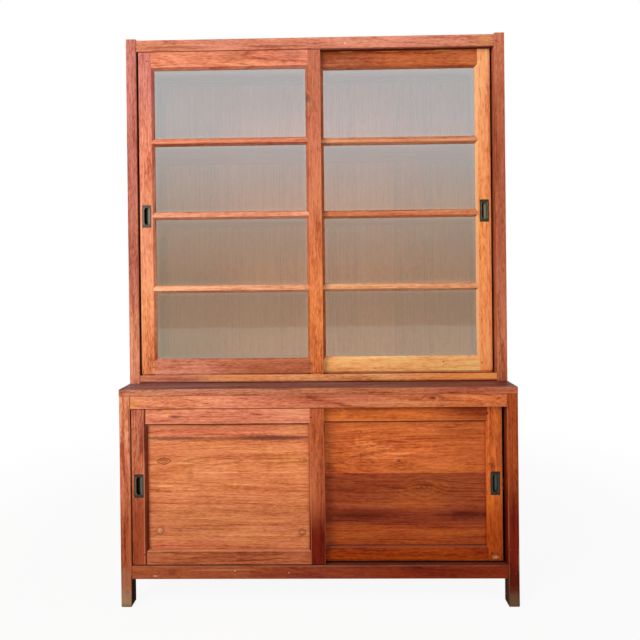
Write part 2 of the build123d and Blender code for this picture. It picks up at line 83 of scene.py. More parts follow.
# Stains, dirt and bare wood that cover the tone under them, and colours for painted shade and painted
# highlights
MARKS = {
    "knot": (74, 32, 18),
    "ink": (38, 20, 16),
    "dark": (112, 44, 26),
    "plum": (104, 54, 50),
    "red": (176, 70, 40),
    "pale": (250, 190, 140),
    "yellow": (246, 178, 84),
    "chip": (255, 226, 196),
    "dust": (176, 152, 122),
    "foot": (168, 142, 108),
    "mud": (112, 84, 58),
    "grey": (108, 100, 92),
    # The next four serve only as painted shade: in gaps, under rails, at the doors' feet and on bevels
    "soot": (26, 12, 12),
    "maroon": (84, 22, 12),
    "slate": (66, 54, 54),
    "taupe": (136, 88, 70),
    "cream": (255, 206, 156),
}

# Marks that shift the wood's own red, green and blue, and leave its grain, for its figure and also for
# painted highlights and painted shade
SHIFTS = {
    "light": (1.28, 1.42, 1.50),
    "bright": (1.45, 2.00, 2.50),
    "golden": (1.18, 1.30, 0.95),
    "rosy": (1.04, 0.90, 1.12),
    "shade": (0.60, 0.46, 0.42),
    "black": (0.26, 0.16, 0.16),
}


# ---------------------------------------------------------------- node graphs

class Signal:
    """A number that varies over a surface, with ordinary arithmetic."""

    def __init__(self, graph, socket):
        self.graph = graph
        self.socket = socket

    def __add__(self, other):
        return self.graph.math("ADD", self, other)

    def __sub__(self, other):
        return self.graph.math("SUBTRACT", self, other)

    def __rsub__(self, other):
        return self.graph.math("SUBTRACT", other, self)

    def __mul__(self, other):
        return self.graph.math("MULTIPLY", self, other)

    def __truediv__(self, other):
        return self.graph.math("DIVIDE", self, other)

    __radd__ = __add__

    def sqrt(self):
        return self.graph.math("SQRT", self)

    def fract(self):
        return self.graph.math("FRACT", self)

    def least(self, other):
        return self.graph.math("MINIMUM", self, other)

    def most(self, other):
        return self.graph.math("MAXIMUM", self, other)

    def size(self):
        return self.graph.math("ABSOLUTE", self)

    def exp(self):
        return self.graph.math("EXPONENT", self)


class Graph:
    """The node tree of one material, or of the world."""

    def __init__(self, owner, output="OutputMaterial"):
        self.owner = owner
        owner.use_nodes = True
        self.tree = owner.node_tree
        self.tree.nodes.clear()
        self.output = self.tree.nodes.new("ShaderNode" + output)

    def feed(self, socket, value):
        """Links a signal or a socket, or sets a constant."""
        if isinstance(value, Signal):
            value = value.socket
        if isinstance(value, bpy.types.NodeSocket):
            self.tree.links.new(value, socket)
        else:
            socket.default_value = value

    def add(self, kind, inputs=(), **settings):
        """A new node, with its inputs fed and its settings made."""
        node = self.tree.nodes.new("ShaderNode" + kind)
        for key, value in settings.items():
            setattr(node, key, value)
        for key, value in dict(inputs).items():
            self.feed(node.inputs[key], value)
        return node

    def signal(self, socket):
        return Signal(self, socket)

    def math(self, operation, *values):
        node = self.add("Math", dict(enumerate(values)), operation=operation)
        return self.signal(node.outputs[0])

    def vector(self, *values):
        return self.add("CombineXYZ", dict(enumerate(values))).outputs[0]

    def place(self):
        """The point's coordinates in the object at rest, in metres."""
        coordinates = self.add("TexCoord").outputs["Object"]
        split = self.add("SeparateXYZ", {0: coordinates})
        return [self.signal(split.outputs[i]) for i in range(3)]

    def noise(self, vector, detail=2.0, roughness=0.5):
        """Smooth noise about zero."""
        node = self.add("TexNoise", {"Vector": vector, "Scale": 1.0, "Detail": detail,
                                     "Roughness": roughness})
        return self.signal(node.outputs["Fac"]) - 0.5

    def random(self, number):
        """A chance value for each whole number."""
        node = self.add("TexWhiteNoise", noise_dimensions="1D")
        self.feed(node.inputs["W"], number)
        return self.signal(node.outputs["Value"])

    def smooth(self, value, low, high, start=0.0, end=1.0):
        """Goes smoothly from start to end while the value goes from low to high."""
        node = self.add("MapRange", {"Value": value, "From Min": low, "From Max": high,
                                     "To Min": start, "To Max": end},
                        interpolation_type="SMOOTHSTEP")
        return self.signal(node.outputs["Result"])

    def clamp(self, value):
        return self.signal(self.add("Clamp", {0: value}).outputs[0])

    def ramp(self, value, stops):
        """A colour read off at the value between (position, colour) stops."""
        node = self.add("ValToRGB", {"Fac": value})
        elements = node.color_ramp.elements
        while len(elements) < len(stops):
            elements.new(0.5)
        for element, (position, colour) in zip(elements, stops):
            element.position = position
            element.color = colour
        return node.outputs["Color"]

    def mix(self, factor, first, second, blend="MIX"):
        """Two colours blended. A Mix node's colours go in at 6 and 7 and come out at 2."""
        node = self.add("Mix", {0: factor, 6: first, 7: second}, data_type="RGBA",
                        blend_type=blend)
        return node.outputs[2]

    def surface(self, shader):
        self.tree.links.new(shader.outputs[0], self.output.inputs["Surface"])
        return self.owner


# ---------------------------------------------------------------- wood

# Each noise over a board: waves in a metre along the grain, waves in a metre across it, the
# coordinate (0, 1 or 2) that tells one board from another, detail and roughness
NOISES = {
    "bend": (1.5, 6.0, 0, 2.0, 0.5),
    "wave": (9.0, 45.0, 0, 2.0, 0.5),
    "streaks": (7.0, 190.0, 0, 4.0, 0.68),
    "fibre": (16.0, 760.0, 1, 2.0, 0.6),
    "patch": (2.6, 6.0, 0, 2.0, 0.5),
    "mottle": (22.0, 60.0, 0, 3.0, 0.6),
    "crisp": (58.0, 300.0, 1, 2.0, 0.6),
    "fleck": (40.0, 330.0, 0, 1.0, 0.5),
    "speck": (150.0, 330.0, 1, 1.0, 0.5),
    "hue": (4.5, 26.0, 1, 3.0, 0.6),
    "dash": (34.0, 480.0, 0, 1.0, 0.5),
    "pore": (80.0, 2300.0, None, 1.0, 0.5),
    "ragged": (70.0, 210.0, 2, 3.0, 0.65),
}
RING_WIDTH = 7.0 * MM
GLOSS = 0.46
BUMP_HEIGHT = 0.0006

# A change of tone over more than this, in metres, has an uneven edge, and a shorter one a clean edge
WIDE_FADE = 0.004

# What the hue of a patch multiplies the colour by
YELLOWER = (1.03, 1.13, 0.92, 1.0)
REDDER = (0.98, 0.88, 0.96, 1.0)


def scaled(colour, factors):
    """A colour made lighter or darker, with full cover."""
    return tuple(min(c * f, 1.0) for c, f in zip(colour, factors)) + (1.0,)


def stain(g, colour, cover, mark):
    """Lays a mark on the wood, as far as it covers."""
    if mark in SHIFTS:
        return g.mix(cover, colour, (*SHIFTS[mark], 1.0), "MULTIPLY")
    return g.mix(cover, colour, rgba(MARKS[mark]))


def tone_stops(tone, contrast):
    """Streak, shade, body and light of one tone of teak."""
    body = linear(TONES[tone])
    deep = [1 - contrast * c for c in (0.52, 0.70, 0.78)]
    shade = [1 - contrast * c for c in (0.17, 0.27, 0.33)]
    light = [1 + contrast * c for c in (0.24, 0.46, 0.58)]
    return [(0.0, scaled(body, deep)), (0.36, scaled(body, shade)),
            (0.60, scaled(body, (1, 1, 1))), (1.0, scaled(body, light))]


def knot_rings(g, colour, ragged, a, u, knot):
    """Fine rings about a knot, and its eye: dark, pale, or none."""
    knot_a, knot_u, size, _, kind = knot
    da = (a - knot_a) / (size * 1.35)
    dk = (u - knot_u) / size
    far = (da * da + dk * dk).sqrt() + ragged * 0.55
    near = g.smooth(far, 0.25, 1.30, 1.0, 0.0)
    turn = (far * 2.6).fract()
    wave = g.smooth(turn, 0.30, 0.80) * g.smooth(turn, 0.86, 1.0, 1.0, 0.0)
    colour = stain(g, colour, near * 0.22, "pale" if kind == "pale" else "dark")
    colour = stain(g, colour, near * wave * 0.62, "dark")
    if kind == "rings":
        return colour
    eye = g.smooth(far, 0.05, 0.42, 1.0, 0.0)
    if kind == "dark":
        return stain(g, colour, eye * 0.85, "knot")
    return stain(g, colour, eye * 0.45, "pale")


def wood(name, node, along, tone, across=None, trunk=(0.5, 0.12), contrast=1.0, ring=1.0,
         streak=1.0, wander=1.0, slope=0.0, second=None, fades=(), marks=(), knots=(),
         loops=(), painted_light_and_grime=(), per_board=False, boards=None, wear=0.5, seed=0.0):
    """Teak cut from a trunk whose axis lies beside the member.

    along is the grain's axis and across the face's other axis. trunk gives how far the trunk's
    axis is off the member's middle, across the face and into it, in metres, and slope how much
    it leans. contrast, ring, streak and wander scale the tone's range, the growth rings, the
    streaks and the rings' unevenness. second is another tone and the place where it takes over.
    fades shift the colour along an axis, marks are stains with a few painted highlights and
    shadows among them, knots bend the rings about them, loops are closed rings on the face, and
    the painted light and grime list tints what lies past some bounds: painted shade and painted
    highlights, such as the side of a gap or the foot of a bevel, and dark joints. per_board varies
    the loose pieces of a node, and boards, an axis and a count, varies equal boards that touch. The
    wear setting bares the arrises, paler as real wear and as a painted highlight.
    """
    g = Graph(bpy.data.materials.new(name))
    place = g.place()
    low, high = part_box(node)
    if across is None:
        across = X if along != X else Z
    deep = 3 - along - across
    a, u, v = place[along], place[across], place[deep]
    middle_u = (low[across] + high[across]) / 2
    middle_v = (low[deep] + high[deep]) / 2
    shift, u_offset, chance = seed, 0.0, None
    if boards:
        board_axis, count = boards
        board = (place[board_axis] - low[board_axis]) * (count / (high[board_axis] - low[board_axis]))
        chance = g.random(g.math("FLOOR", board))
    elif per_board:
        chance = g.signal(g.add("NewGeometry").outputs["Random Per Island"])
    if chance:
        shift = chance * 7.3 + seed
        u_offset = (chance * 5.71).fract() * 0.12

    def noise(kind, width=u):
        """One of the NOISES over this board."""
        waves_along, waves_across, varied, detail, roughness = NOISES[kind]
        point = [a * waves_along, width * waves_across, v * waves_across]
        if varied is not None:
            point[varied] = point[varied] + shift
        return g.noise(g.vector(*point), detail, roughness)

    # growth rings round the trunk's axis
    bend = noise("bend")
    wave = noise("wave")
    du = u - (middle_u + trunk[0]) + u_offset
    dv = v - (middle_v + trunk[1])
    if slope:
        dv = dv + (a - (low[along] + high[along]) / 2) * slope
    radius = (du * du + dv * dv).sqrt() + bend * (0.034 * wander) + wave * (0.0050 * wander)
    for knot_a, knot_u, size, push, _ in knots:
        da = (a - knot_a) / (size * 2.3)
        dk = (u - knot_u) / size
        radius = radius + (0 - (da * da + dk * dk)).exp() * (push * RING_WIDTH)
    phase = (radius / RING_WIDTH).fract()
    late = g.smooth(phase, 0.25, 0.88) * g.smooth(phase, 0.90, 1.0, 1.0, 0.0)
    strong = g.smooth(g.noise(g.vector(radius * 260.0, a * 2.2, shift), 2.0), -0.10, 0.22)

    # bands that follow the rings, streaks, fibres, flecks and patches
    bands = g.noise(g.vector(radius * 62.0, a * 2.4 + shift, shift), 2.0, 0.55)
    streaks = noise("streaks", u + wave * 0.006)
    fibre = noise("fibre")
    patch = noise("patch")
    mottle = noise("mottle")
    crisp = noise("crisp")
    fleck = g.smooth(noise("fleck"), 0.20, 0.32)
    speck = g.smooth(noise("speck"), 0.27, 0.33)
    hue = noise("hue")
    dash = g.smooth(noise("dash"), 0.14, 0.24)
    pore = g.smooth(noise("pore"), 0.12, 0.24)

    tint = (0.64 + bands * (1.5 * streak) + streaks * (1.35 * streak) + fibre * 0.55
            + crisp * (1.45 * streak) + patch * 0.45 + mottle * 0.55
            - late * strong * (0.42 * ring) - dash * 0.26 - pore * 0.08)
    if chance:
        tint = tint + ((chance * 3.37).fract() - 0.5) * 0.42
    colour = g.ramp(tint, tone_stops(tone, contrast))
    if second:
        other, low_end, high_end, axis = second
        blur = 0.10 if abs(high_end - low_end) > WIDE_FADE else 0.0
        ramp = g.ramp(tint, tone_stops(other, contrast))
        where = g.smooth(place[axis] + bend * blur, low_end, high_end)
        colour = g.mix(where, colour, ramp)
    colour = g.mix(g.clamp(hue * 3.0), colour, YELLOWER, "MULTIPLY")
    colour = g.mix(g.clamp(hue * -3.0), colour, REDDER, "MULTIPLY")
    colour = stain(g, colour, fleck * 0.35, "bright")
    colour = stain(g, colour, speck * 0.45, "pale")
    for axis, start, end, factors in fades:
        blur = 0.05 if abs(end - start) > WIDE_FADE else 0.0
        where = g.smooth(place[axis] + patch * blur, start, end)
        colour = g.mix(where, colour, (*factors, 1.0), "MULTIPLY")

    rough = GLOSS + fibre * 0.12 + late * 0.05 + patch * 0.16

    # worn arrises, painted paler: real wear and a painted edge highlight
    edge_u = (u - low[across]).least(high[across] - u)
    edge_v = (v - low[deep]).least(high[deep] - v)
    arris = g.smooth(edge_u + edge_v + (patch + wave) * 0.002, 0.0004, 0.0030, 1.0, 0.0)
    worn_and_highlit = g.clamp(arris * (0.35 + streaks * 1.6)) * wear
    colour = stain(g, colour, worn_and_highlit, "pale")
    rough = rough + worn_and_highlit * 0.15

    # marks, loops, knots, and painted shade, painted highlights and grime, each with a ragged edge
    ragged = noise("ragged")
    for kind, mark_a, mark_u, size_a, size_u, strength in marks:
        da = (a - mark_a) / size_a
        dk = (u - mark_u) / size_u
        spot = g.smooth((da * da + dk * dk).sqrt() + ragged * 0.9, 0.35, 1.15, 1.0, 0.0)
        colour = stain(g, colour, spot * strength, kind)
        if kind in ("dust", "foot", "chip", "mud"):
            rough = rough + spot * (0.30 * strength)
    for loop_a, loop_u, size_a, size_u, strength in loops:
        da = (a - loop_a) / size_a
        dk = (u - loop_u) / size_u
        round_far = (da * da + dk * dk).sqrt()
        far = (da.size() + dk.size()) * 0.45 + round_far * 0.55 + ragged * 0.35 + wave * 0.5
        line = g.smooth((far - 1.0).size(), 0.02, 0.16, 1.0, 0.0)
        colour = stain(g, colour, line * strength, "dark")
    for knot in knots:
        colour = knot_rings(g, colour, ragged, a, u, knot)
    for mark, strength, bounds in painted_light_and_grime:
        cover = g.clamp(1.0 + ragged * 0.9) * strength
        for axis, start, end, pitch in bounds:
            where = place[axis]
            if pitch:
                where = ((where - low[axis]) / pitch).fract() * pitch
            cover = g.smooth(where, start, end) * cover
        colour = stain(g, colour, cover, mark)
        rough = rough + cover * 0.25

    height = late * 0.5 + fibre * 1.1 + streaks * 0.5 - pore * 0.9 - dash * 0.6
    bump = g.add("Bump", {"Strength": 0.5, "Distance": BUMP_HEIGHT, "Height": height})
    shader = g.add("BsdfPrincipled", {
        "Base Color": colour, "Roughness": g.clamp(rough), "Normal": bump.outputs[0],
        "IOR": 1.48, "Specular IOR Level": 0.12})
    return g.surface(shader)


WELD_REACH = 0.00002
SHARP = math.radians(28)


def dress(node, material, arris=0.7):
    """Gives a CAD node its material, and eases its sharp edges by arris millimetres."""
    piece = NODES[node]
    piece.data.materials.clear()
    piece.data.materials.append(material)
    weld = piece.modifiers.new("weld", "WELD")
    weld.merge_threshold = WELD_REACH
    if arris:
        bevel = piece.modifiers.new("arris", "BEVEL")
        bevel.width = arris * MM
        bevel.segments = 2
        bevel.limit_method = "ANGLE"
        bevel.angle_limit = SHARP


def plank(node, along, tone, arris=0.7, painted_light_and_grime=(), **look):
    """Dresses one CAD node in teak. Painted light and grime that depend on the node's box come as
    functions.
    """
    painted_light_and_grime = [one(node) if callable(one) else one for one in painted_light_and_grime]
    dress(node, wood(node + "_teak", node, along, tone, painted_light_and_grime=painted_light_and_grime, **look), arris)


# ---------------------------------------------------------------- painted shade, painted highlights and grime

# Each side's axis, and whether it is the box's low or high end
SIDES = {"left": (X, 0), "right": (X, 1), "bottom": (Z, 0), "top": (Z, 1)}
BLUR = 0.6

# How deep the painted shade on a post's inner side begins, in metres, and at what share of that it is
# full
SIDE_REACH = 0.0012
SIDE_FULL = 0.4

# Levels just inside the lower edges of the rails over the doors, and the sills' upper edges
CHEST_HEAD = 1.7206
CHEST_FOOT = 0.6831
BASE_HEAD = 0.6012
BASE_FOOT = 0.1236
LEVEL_BLUR = 0.0006


def past(axis, start, end, pitch=None):
    """One bound of a grimy place: none before the start, full past the end."""
    return (axis, start, end, pitch)


def side_line(side, start, end, mark, strength):
    """A tint along one side of a member, from start to end millimetres in from that side."""
    def painted_light_and_grime(node):
        axis, top = SIDES[side]
        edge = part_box(node)[top][axis]
        inward = -MM if top else MM
        bounds = [past(axis, edge + inward * end, edge + inward * (end - BLUR))]
        if start > 0:
            bounds.append(past(axis, edge + inward * start, edge + inward * (start + BLUR)))
        return (mark, strength, bounds)
    return painted_light_and_grime


def inner_side(node):
    """The bound of a post's side that faces the doors."""
    low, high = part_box(node)
    inner = low[X] if low[X] > 0 else high[X]
    outward = SIDE_REACH if inner > 0 else -SIDE_REACH
    return past(X, inner + outward, inner + outward * SIDE_FULL)


def gap_shade(front, depth, mark="maroon", strength=0.9):
    """Painted shade on the side of a post that faces a door, from just behind its front arris."""
    return lambda post: (mark, strength, [inner_side(post), past(Y, front, front + depth)])


def leg_shade(strength):
    """Painted shade on the inner side of a leg, under the sill."""
    return lambda post: ("soot", strength, [inner_side(post), past(Z, 0.0985, 0.0955)])


def under_door(start, end, level, above, mark="soot", strength=0.9):
    """Painted shade on a rail over or under the doors, above or below a level, from start to end in Y."""
    lift = LEVEL_BLUR if above else -LEVEL_BLUR
    return (mark, strength, [past(Y, start, end), past(Z, level - lift, level + lift)])


# ---------------------------------------------------------------- the two chests' frames

def dress_frames():
    plank("chest_front_left_post", Z, "blush", trunk=(0.02, 0.10), ring=0.7,
          second=("coral", 1.05, 0.85, Z),
          fades=[(Z, 0.95, 0.80, (1.20, 1.34, 1.30)), (Z, 1.20, 1.60, (1.06, 1.11, 1.24))],
          # painted shade on the post's side in the door gap
          painted_light_and_grime=[gap_shade(-0.1235, 0.003)])
    plank("chest_front_right_post", Z, "brick", trunk=(0.05, 0.08), ring=0.7, seed=3.1,
          fades=[(X, 0.577, 0.583, (1.0, 0.93, 0.90)), (Z, 1.55, 1.68, (1.16, 1.28, 1.42)),
                 (Z, 0.95, 0.80, (1.26, 1.50, 1.42))],
          marks=[("ink", 1.733, 0.574, 0.003, 0.003, 0.9), ("ink", 1.729, 0.580, 0.003, 0.003, 0.8)])
    plank("chest_top_rail", X, "coral", trunk=(0.03, 0.09), seed=1.7, slope=0.06,
          fades=[(X, -0.8, -0.7, (1.07, 1.12, 1.18))],
          marks=[("dark", -0.43, 1.731, 0.14, 0.006, 0.35), ("dark", -0.13, 1.729, 0.12, 0.005, 0.4),
                 ("chip", 0.0988, 1.7334, 0.002, 0.0045, 1.0),
                 ("yellow", 0.54, 1.738, 0.025, 0.018, 0.35)],
          # painted shade on the rail's underside over the doors
          painted_light_and_grime=[under_door(-0.1205, -0.1160, CHEST_HEAD, False, "maroon")])
    plank("chest_sill", X, "apricot", trunk=(0.04, 0.07), seed=5.2,
          second=("coral", -0.25, -0.45, X),
          fades=[(X, -0.25, -0.05, (1.10, 1.40, 1.52)), (X, 0.15, 0.45, (0.94, 0.64, 0.42))],
          marks=[("dark", -0.43, 0.672, 0.10, 0.006, 0.4)],
          # painted shade in the track under the doors and along the sill's lower edge
          painted_light_and_grime=[under_door(-0.1195, -0.1175, CHEST_FOOT, True, "maroon"),
                 side_line("bottom", 0, 5.0, "dark", 0.45)])
    plank("base_front_left_post", Z, "salmon", trunk=(0.03, 0.10), seed=7.9,
          second=("rust", 0.50, 0.20, Z),
          fades=[(Z, 0.30, 0.20, (0.90, 0.88, 0.84)), (Z, 0.38, 0.56, (1.12, 1.32, 1.28))],
          marks=[("foot", 0.0, -0.584, 0.070, 0.06, 0.75), ("dust", 0.085, -0.590, 0.05, 0.03, 0.25),
                 ("ink", 0.002, -0.584, 0.010, 0.04, 0.3)],
          # painted shade on the post's side in the door gap and on the leg's inner side
          painted_light_and_grime=[gap_shade(-0.2175, 0.003), leg_shade(0.9)])
    plank("base_front_right_post", Z, "chestnut", trunk=(0.05, 0.07), seed=9.3,
          second=("oxblood", 0.42, 0.26, Z), fades=[(Z, 0.14, 0.09, (0.60, 0.66, 0.7))],
          streak=1.5, wear=0.8,
          marks=[("mud", 0.0, 0.584, 0.058, 0.06, 0.95), ("light", 0.25, 0.590, 0.30, 0.0025, 0.6),
                 ("shade", 0.33, 0.582, 0.25, 0.002, 0.7), ("dust", 0.14, 0.5985, 0.05, 0.003, 0.6)],
          # painted shade on the post's side in the door gap and on the leg's inner side
          painted_light_and_grime=[gap_shade(-0.208, 0.006, "maroon", 0.4), side_line("right", 0, 6.0, "shade", 0.4),
                 leg_shade(0.6)])
    plank("base_top_rail", X, "salmon", trunk=(0.03, 0.08), seed=2.4, slope=0.05,
          second=("terracotta", -0.25, 0.0, X),
          fades=[(X, 0.1, 0.5, (1.20, 1.18, 0.80)), (X, -0.15, -0.40, (1.11, 1.20, 1.12))],
          knots=[(0.3475, 0.628, 0.009, 2.4, "rings")],
          marks=[("ink", 0.3475, 0.628, 0.012, 0.0035, 0.75), ("yellow", -0.56, 0.612, 0.02, 0.02, 0.3),
                 ("pale", 0.28, 0.615, 0.18, 0.004, 0.3), ("dark", -0.05, 0.633, 0.2, 0.005, 0.3)],
          # painted shade on the rail's underside over the doors and along its lower edge
          painted_light_and_grime=[under_door(-0.2145, -0.2100, BASE_HEAD, False, "maroon"),
                 side_line("bottom", 0, 2.0, "dark", 0.4)])
    plank("base_sill", X, "russet", trunk=(0.03, 0.08), seed=4.6, slope=0.05,
          second=("mahogany", -0.25, 0.0, X),
          fades=[(X, 0.0, 0.3, (0.92, 0.66, 0.34)), (X, -0.05, -0.25, (0.96, 1.10, 1.30))],
          knots=[(-0.4455, 0.103, 0.014, 2.6, "rings")],
          marks=[("chip", -0.497, 0.094, 0.009, 0.002, 0.5), ("chip", -0.254, 0.109, 0.003, 0.002, 0.6),
                 ("chip", -0.091, 0.103, 0.002, 0.002, 0.6), ("dark", -0.17, 0.096, 0.10, 0.008, 0.35),
                 ("pale", -0.30, 0.112, 0.12, 0.003, 0.25)],
          # painted shade in the track under the doors and along the sill's lower edge
          painted_light_and_grime=[under_door(-0.2172, -0.2160, BASE_FOOT, True, "slate", 0.8),
                 under_door(-0.2020, -0.1990, BASE_FOOT, True),
                 side_line("bottom", 0, 3.0, "dark", 0.35)])
    plank("countertop", X, "plum", across=Y, trunk=(0.05, 0.12), seed=6.1, arris=0,
          second=("copper", -0.2186, -0.2194, Y), streak=1.3,
          fades=[(X, -0.55, 0.55, (0.84, 0.66, 0.50)), (X, -0.45, -0.15, (1.0, 0.97, 0.92)),
                 (X, 0.15, 0.50, (0.94, 0.86, 1.0))],
          marks=[("shade", -0.35, -0.14, 0.2, 0.008, 0.5), ("shade", 0.25, -0.135, 0.25, 0.008, 0.5),
                 ("light", -0.30, -0.165, 0.25, 0.010, 0.3), ("light", 0.10, -0.19, 0.3, 0.006, 0.3),
                 ("shade", -0.595, -0.2, 0.02, 0.03, 0.6), ("shade", 0.585, -0.16, 0.04, 0.04, 0.6)],
          # the last entry is a painted highlight along the front top arris
          painted_light_and_grime=[side_line("left", 0, 10.0, "shade", 0.35),
                 ("light", 0.30, [past(Y, -0.2170, -0.2185), past(Z, 0.6370, 0.6385)])])


# ---------------------------------------------------------------- the doors

# The width of the chamfers round the panes in millimetres, and from muntin to muntin in metres
GLAZED_BEVEL = 8.5
MUNTIN_PITCH = 0.235


def door_edge_shade(outward):
    """Painted shade on the outer edge of a door's stile, behind its front arris."""
    def painted_light_and_grime(node):
        low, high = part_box(node)
        side = low[X] if outward < 0 else high[X]
        return ("maroon", 0.9, [past(X, side - outward * 0.0010, side - outward * 0.0003),
                                past(Y, low[Y] + 0.0012, low[Y] + 0.0020)])
    return painted_light_and_grime


def muntin_bevel_shade(lower, upper):
    """Painted shade on the lower and on the upper bevel of each muntin."""
    return [("maroon", lower, [past(Z, 0.0088, 0.0060, MUNTIN_PITCH)]),
            ("dark", upper, [past(Z, 0.0215, 0.0235, MUNTIN_PITCH)])]


def dress_upper_left_door():
    door = "upper_left_door_"
    plank(door + "outer_stile", Z, "salmon", trunk=(0.03, 0.09), seed=11.0,
          second=("apricot", 1.25, 0.80, Z),
          fades=[(Z, 1.40, 1.62, (0.77, 0.71, 0.95)), (Z, 1.75, 1.74, (1.06, 1.10, 1.22))],
          # painted shade on the stile's outer edge and on its chamfer round the panes
          painted_light_and_grime=[door_edge_shade(-1), side_line("right", 0, GLAZED_BEVEL, "dark", 0.42)])
    plank(door + "meeting_stile", Z, "terracotta", trunk=(0.02, 0.09), seed=12.0,
          second=("tangerine", 1.20, 0.85, Z),
          fades=[(Z, 1.35, 1.60, (0.86, 0.86, 1.02)), (Z, 1.30, 1.10, (1.07, 1.06, 0.94))],
          knots=[(1.544, -0.019, 0.012, 3.0, "pale")],
          marks=[("plum", 1.560, -0.022, 0.022, 0.012, 0.6)],
          # painted shade on the stile's outer edge and on its chamfer round the panes
          painted_light_and_grime=[door_edge_shade(1), side_line("left", 0, GLAZED_BEVEL, "plum", 0.25)])
    plank(door + "top_rail", X, "salmon", trunk=(0.02, 0.10), seed=13.0, slope=0.06,
          fades=[(X, -0.28, -0.10, (1.08, 1.10, 1.20))],
          marks=[("dark", -0.26, 1.700, 0.06, 0.02, 0.22), ("plum", -0.07, 1.702, 0.05, 0.02, 0.3)],
          # painted shade on the chamfer under the rail
          painted_light_and_grime=[side_line("bottom", 0, GLAZED_BEVEL, "dark", 0.45)])
    plank(door + "bottom_rail", X, "coral", trunk=(0.03, 0.08), seed=14.0,
          second=("brick", -0.38, -0.20, X),
          fades=[(X, -0.8, -0.7, (1.12, 1.22, 1.20))],
          marks=[("plum", -0.30, 0.735, 0.25, 0.004, 0.3)],
          # painted shade along the rail's lower edge, over the sill
          painted_light_and_grime=[side_line("bottom", 0, 3.0, "dark", 0.35)])
    plank(door + "muntins", X, "salmon", trunk=(0.02, 0.05), seed=15.0, per_board=True, contrast=0.8,
          fades=[(Z, 1.45, 1.20, (1.20, 1.50, 1.72)), (Z, 1.10, 1.00, (1.16, 1.38, 1.28))],
          # painted shade on the muntins' bevels
          painted_light_and_grime=muntin_bevel_shade(0.6, 0.4))


def dress_upper_right_door():
    door = "upper_right_door_"
    plank(door + "outer_stile", Z, "honey", trunk=(0.03, 0.09), seed=16.0, contrast=0.8,
          fades=[(Z, 1.2, 1.65, (1.03, 1.22, 1.56)), (Z, 1.75, 1.74, (1.08, 1.08, 1.10))],
          # painted shade on the stile's outer edge and a painted highlight on its chamfer round the panes
          painted_light_and_grime=[door_edge_shade(1), side_line("left", 0, GLAZED_BEVEL, "cream", 0.55),
                 side_line("right", 1, 7.0, "red", 0.18)])
    plank(door + "meeting_stile", Z, "rust", trunk=(0.03, 0.08), seed=17.0)
    plank(door + "top_rail", X, "rust", trunk=(0.03, 0.08), seed=18.0,
          fades=[(X, 0.15, 0.35, (1.16, 1.28, 1.16)), (X, 0.25, 0.10, (0.92, 1.08, 1.36)),
                 # the last fade is a painted shadow of the chest's top rail along this rail's top
                 (Z, 1.698, 1.712, (0.72, 0.52, 0.30))],
          marks=[("yellow", 0.10, 1.716, 0.03, 0.003, 0.5), ("yellow", 0.24, 1.714, 0.05, 0.002, 0.5),
                 ("yellow", 0.41, 1.715, 0.04, 0.003, 0.5)],
          # painted shade on the chamfer under the rail
          painted_light_and_grime=[side_line("bottom", 0, GLAZED_BEVEL, "dark", 0.40)])
    plank(door + "bottom_rail", X, "straw", trunk=(0.03, 0.08), seed=19.0, contrast=0.8,
          fades=[(X, 0.5, -0.1, (1.16, 1.08, 1.10))],
          # painted shade along the rail's lower edge, over the sill
          painted_light_and_grime=[side_line("bottom", 0, 5.0, "taupe", 0.35)])
    plank(door + "muntins", X, "peach", trunk=(0.02, 0.05), seed=20.0, per_board=True, contrast=0.8,
          fades=[(Z, 1.45, 1.30, (0.98, 0.82, 0.72)), (Z, 1.10, 1.00, (1.22, 1.70, 1.90))],
          # painted shade on the muntins' bevels
          painted_light_and_grime=muntin_bevel_shade(0.5, 0.3))


